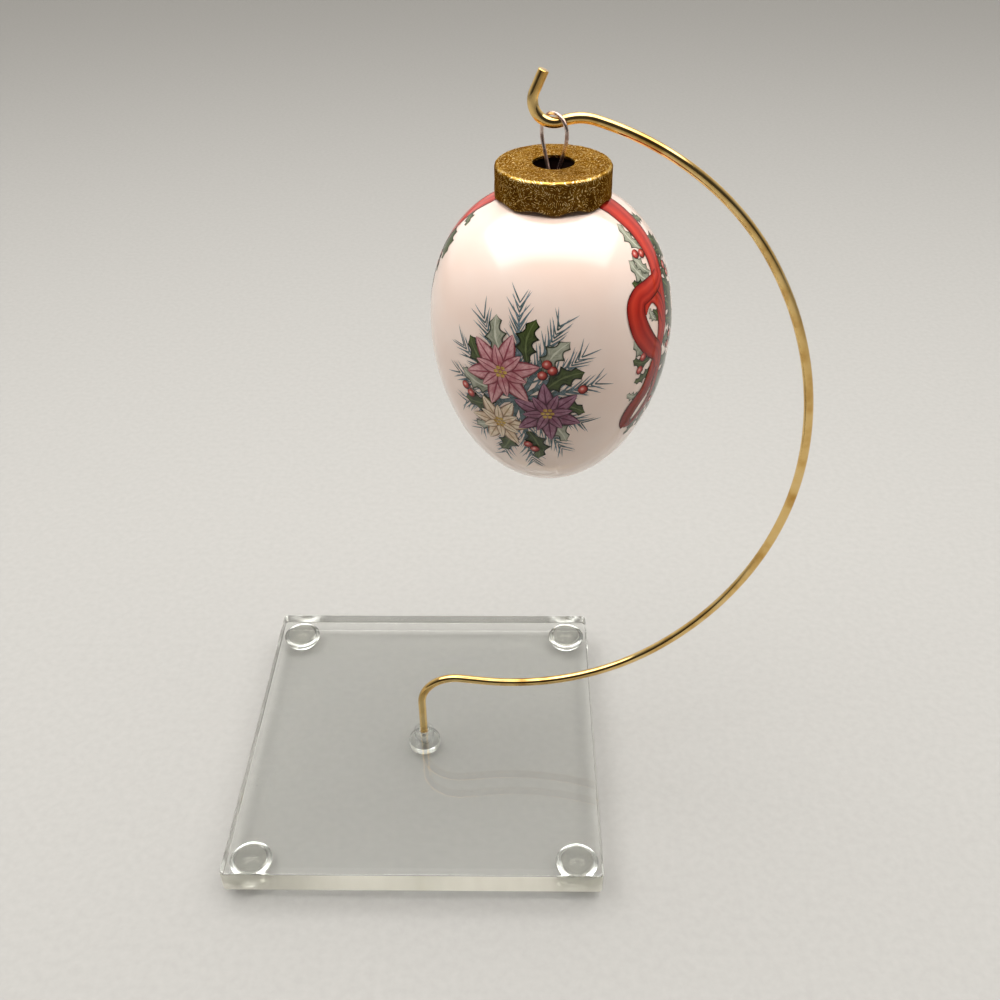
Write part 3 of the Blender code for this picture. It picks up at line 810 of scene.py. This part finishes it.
def round_outline(along, across):
    """A disc of diameter 1."""
    x, y = 2 * along - 1, across
    return 0.5 * x * math.sqrt(1 - y * y / 2), 0.5 * y * math.sqrt(1 - x * x / 2)


# Fired enamel: a berry that pales to a glint on its upper left
berry_red = new_material("fired_rose_red", {"Roughness": 0.1, "IOR": 1.52, "Specular IOR Level": 0.3})
chart = add_node(berry_red, "UVMap", uv_map="UVMap")
glint = add_node(berry_red, "VectorMath", {
    0: chart, 1: (0.4, 0.6, 0.0),
}, out="Value", operation="DISTANCE")
add_node(berry_red, "ValToRGB", {"Fac": glint}, feeds="Base Color", stops=[
    (0.05, "#E9B3A8"), (0.2, "#C4554B"), (0.42, "#97271F"), (0.56, "#42110E"),
])
berry_size = 1.8
# Turn and height of each berry
garland_berries = [
    (52.6, 22.2), (58.0, 21.8), (44.7, 4.4), (43.0, 1.9), (76, 17.5), (78, 15.8), (68, 3.0), (70, 4.8),
    (60, -8.0),
]
form = bmesh.new()
form.loops.layers.uv.new("UVMap")
for turned in garland_turns:
    for place, height in garland_berries:
        lay_shape(form, seat((place + turned, height), 0.0, berry_size), round_outline, 6, 8, 8)
add_piece("berry_print", form, "egg", "glazed_porcelain", berry_red)


# BOUQUET PRINT
# A winter bouquet of poinsettias, fir and holly on the front of the egg and a smaller one on its
# back, printed and fired in the same way in muted colours.

def petal_outline(along, across):
    """A pointed petal of length 1, widest before its middle."""
    return along, 0.23 * across * max(0.0, math.sin(math.pi * along ** 0.8)) ** 0.8


def needle_outline(along, across):
    """A needle or stem of length 1 that tapers to its tip."""
    return along, 0.035 * across * (1.0 - along ** 3)


# Fired enamels: petals from maroon at the heart to dusty rose, mauve or cream, and dull blue fir
rose = leaf_enamel("fired_dusty_rose", "#7A2F3A", "#A8525F", "#D9A5A6", "#8B3A48")
mauve = leaf_enamel("fired_mauve", "#43182A", "#6E2F48", "#A8788C", "#54203A")
cream = leaf_enamel("fired_cream", "#8A6A50", "#D2AE8B", "#F0E0C8", "#A98A66")
fir_blue = leaf_enamel("fired_fir_blue", "#3A4A48", "#42534F", "#8596A0", "#5F7072")
stamen_gold = leaf_enamel("fired_gold_brown", "#6B4A1C", "#A87A2E", "#DDB860", "#8A6226")
bouquet_finishes = [deep_green, grey_green, rose, mauve, cream, fir_blue, stamen_gold]
fir_finish = bouquet_finishes.index(fir_blue)
stamen_finish = bouquet_finishes.index(stamen_gold)

# Turn and height of each bouquet's middle, and its size
bouquets = ((-15.0, -1.0, 1.0), (180.0, 3.0, 0.65))
# Way in degrees and length in mm of each fir sprig
fir_sprigs = [
    (12, 15), (38, 15), (64, 17), (92, 19), (118, 17), (146, 15), (172, 14), (200, 14), (226, 15),
    (252, 17), (276, 18), (304, 16), (334, 14),
]
fir_stem = 0.9
needles_per_mm = 1.3
needle_length = 5.0
needle_lean = 31
# Way, distance from the middle and length of each leaf, and its shade
bouquet_leaves = [
    (25, 5, 8.5, 0), (52, 7, 8.0, 1), (80, 8, 8.0, 0), (108, 8, 8.5, 1), (135, 7, 8.0, 0),
    (165, 5, 8.0, 1), (195, 5, 8.0, 0), (222, 6, 8.5, 1), (250, 8, 8.0, 0), (280, 8, 8.5, 0),
    (310, 6, 8.0, 1), (345, 5, 8.0, 0),
]
# Place right of and above the middle, radius and finish of each flower
bouquet_flowers = [(-4.6, -6.6, 6.4, cream), (5.2, -3.0, 7.0, mauve), (-3.6, 5.2, 7.8, rose)]
flower_twist = 37
ring_petals = 6
petal_turn = 360 // ring_petals
inner_petal = 0.68
stamen_size = 0.8
stamen_ring = 0.9
# Place right of and above the middle of each berry
bouquet_berries = [
    (4.2, 5.4), (6.0, 6.4), (5.0, 7.6), (-10.4, -1.6), (-11.6, -0.2), (1.2, -11.4), (2.6, -12.6),
    (11.6, 2.2),
]
bouquet_berry_size = 1.9
# Print layers that a flower takes up, and the one that the berries lie on
flower_layers = 5
berry_layer = 20


def place_beside(middle, right, up):
    """Place that lies some mm right of and above another."""
    return middle[0] + math.degrees(right / 1000 / egg_radius), middle[1] + up


form = bmesh.new()
form.loops.layers.uv.new("UVMap")
berry_form = bmesh.new()
berry_form.loops.layers.uv.new("UVMap")
for turned, height, size in bouquets:
    middle = (turned, height)
    for way, length in fir_sprigs:
        ahead = Vector((math.cos(math.radians(way)), math.sin(math.radians(way)))) * size
        lay_shape(form, seat(middle, way, fir_stem * length * size), needle_outline, 0, 8, 1, fir_finish)
        needles = int(needles_per_mm * length)
        for order in range(needles // 4, needles):
            share = order / needles
            foot = place_beside(middle, *(ahead * length * share))
            for side in (-1, 1):
                lean = side * (needle_lean + 8 * math.sin(2.7 * order + way))
                needle = (needle_length - 1.6 * share + 0.7 * math.sin(1.9 * order + side)) * size
                needle_seat = seat(foot, way + lean, needle)
                lay_shape(form, needle_seat, needle_outline, order % 2, 4, 1, fir_finish)
    for order, (way, start, length, shade) in enumerate(bouquet_leaves):
        ahead = Vector((math.cos(math.radians(way)), math.sin(math.radians(way)))) * start * size
        stalk = seat(place_beside(middle, *ahead), way, length * size)
        lay_shape(form, stalk, holly_outline, 2 + order % 2, 21, 6, shade)
    for order, (right, up, radius, enamel) in enumerate(bouquet_flowers):
        heart = place_beside(middle, right * size, up * size)
        finish = bouquet_finishes.index(enamel)
        lowest = 4 + flower_layers * order
        for petal in range(2 * ring_petals):
            inner = petal >= ring_petals
            way = flower_twist * order + petal_turn * petal + (petal_turn // 2 if inner else 0)
            length = radius * size * (inner_petal if inner else 1.0)
            layer = lowest + petal % 2 + (2 if inner else 0)
            lay_shape(form, seat(heart, way, length), petal_outline, layer, 10, 4, finish)
        for stamen in range(ring_petals + 1):
            way = math.radians(petal_turn * stamen)
            out = (0.0 if stamen == ring_petals else stamen_ring) * size
            tip = place_beside(heart, out * math.cos(way), out * math.sin(way))
            stamen_seat = seat(tip, 0.0, stamen_size * size)
            lay_shape(form, stamen_seat, round_outline, lowest + 4, 4, 4, stamen_finish)
    for right, up in bouquet_berries:
        tip = place_beside(middle, right * size, up * size)
        berry_seat = seat(tip, 0.0, bouquet_berry_size * size)
        lay_shape(berry_form, berry_seat, round_outline, berry_layer, 8, 8)
add_piece("bouquet_print", form, "egg", "glazed_porcelain", *bouquet_finishes)
add_piece("bouquet_berry_print", berry_form, "egg", "glazed_porcelain", berry_red)


# FLOOR, LIGHT AND CAMERA
# A pale matt sheet just under the bumpers, a wide softbox overhead that dims towards its edges, and a
# camera that looks down on the object from the front.

floor_half = 3.0
floor_gap = 0.0001
softbox_layers = 6
softbox_glow = 3.3
softbox_width = 1.1
softbox_depth = 0.5
softbox_step = 0.04
softbox_back = 0.04
softbox_height = 0.62
softbox_gap = 0.001
wall_dim = 0.08
wall_bright = 1.3
wall_seen = 0.9
ceiling_bright = 2.2
camera_place = (0.0035515, -0.1975124, 0.2278032)
camera_pan = 0.021177
camera_down = 0.629834
camera_roll = -0.011807

# Matt paper: a plain warm grey that scatters the light, with a faint tooth drawn coarse enough to show
paper = new_material("matt_paper", {"Roughness": 0.85})
spot = add_node(paper, "TexCoord", out="Object")
tooth = add_node(paper, "TexNoise", {"Vector": spot, "Scale": 1 / 0.002, "Detail": 4.0})
add_node(paper, "ValToRGB", {"Fac": tooth}, feeds="Base Color", stops=[
    (0.3, "#A4A29E"), (0.7, "#A9A7A3"),
])
form = bmesh.new()
bmesh.ops.create_grid(form, x_segments=8, y_segments=8, size=floor_half)
bmesh.ops.translate(form, vec=(0, 0, -floor_gap), verts=form.verts)
mesh = bpy.data.meshes.new("floor")
form.to_mesh(mesh)
form.free()
mesh.materials.append(paper)
floor = bpy.data.objects.new("floor", mesh)
bpy.context.scene.collection.objects.link(floor)

# The room is dim on the side of the camera, and bright behind the object and overhead. The camera
# itself sees a plain pale wall.
world = bpy.data.worlds.new("soft_room")
world.use_nodes = True
backdrop = world.node_tree.nodes["Background"]
backdrop.inputs["Color"].default_value = linear("#D6D3CE")
way = add_node(world, "TexCoord", out="Generated")
behind = add_node(world, "SeparateXYZ", {"Vector": way}, out="Y")
above = add_node(world, "SeparateXYZ", {"Vector": way}, out="Z")
walls = add_node(world, "MapRange", {
    "Value": behind, "From Min": -0.5, "From Max": 0.8, "To Min": wall_dim, "To Max": wall_bright,
})
ceiling = add_node(world, "MapRange", {
    "Value": above, "From Min": 0.78, "From Max": 1.0, "To Min": 0.0, "To Max": ceiling_bright,
})
room = add_node(world, "Math", {0: walls, 1: ceiling}, operation="ADD")
seen = add_node(world, "LightPath", out="Is Camera Ray")
strength = add_node(world, "Mix", {0: seen, 2: room, 3: wall_seen})
world.node_tree.links.new(strength, backdrop.inputs["Strength"])
bpy.context.scene.world = world

for layer in range(softbox_layers):
    panel = bpy.data.lights.new("softbox", "AREA")
    panel.shape = "RECTANGLE"
    panel.size = softbox_width + softbox_step * layer
    panel.size_y = softbox_depth + softbox_step * layer
    panel.energy = softbox_glow / softbox_layers * math.pi * panel.size * panel.size_y
    lamp = bpy.data.objects.new("softbox", panel)
    lamp.location = (0.0, softbox_back, softbox_height + softbox_gap * layer)
    bpy.context.scene.collection.objects.link(lamp)
bpy.context.scene.view_settings.view_transform = "Standard"

# Light crosses the clear plate many times before it leaves by an edge
bpy.context.scene.cycles.max_bounces = 24
bpy.context.scene.cycles.glossy_bounces = 16
bpy.context.scene.cycles.transmission_bounces = 24

camera_data = bpy.data.cameras.new("camera")
camera_data.sensor_width = 36.0
camera_data.lens = 39.58
camera = bpy.data.objects.new("camera", camera_data)
camera.matrix_world = (
    Matrix.Translation(camera_place) @ Matrix.Rotation(camera_pan, 4, "Z")
    @ Matrix.Rotation(math.pi / 2 - camera_down, 4, "X") @ Matrix.Rotation(camera_roll, 4, "Z")
)
bpy.context.scene.collection.objects.link(camera)
bpy.context.scene.camera = camera
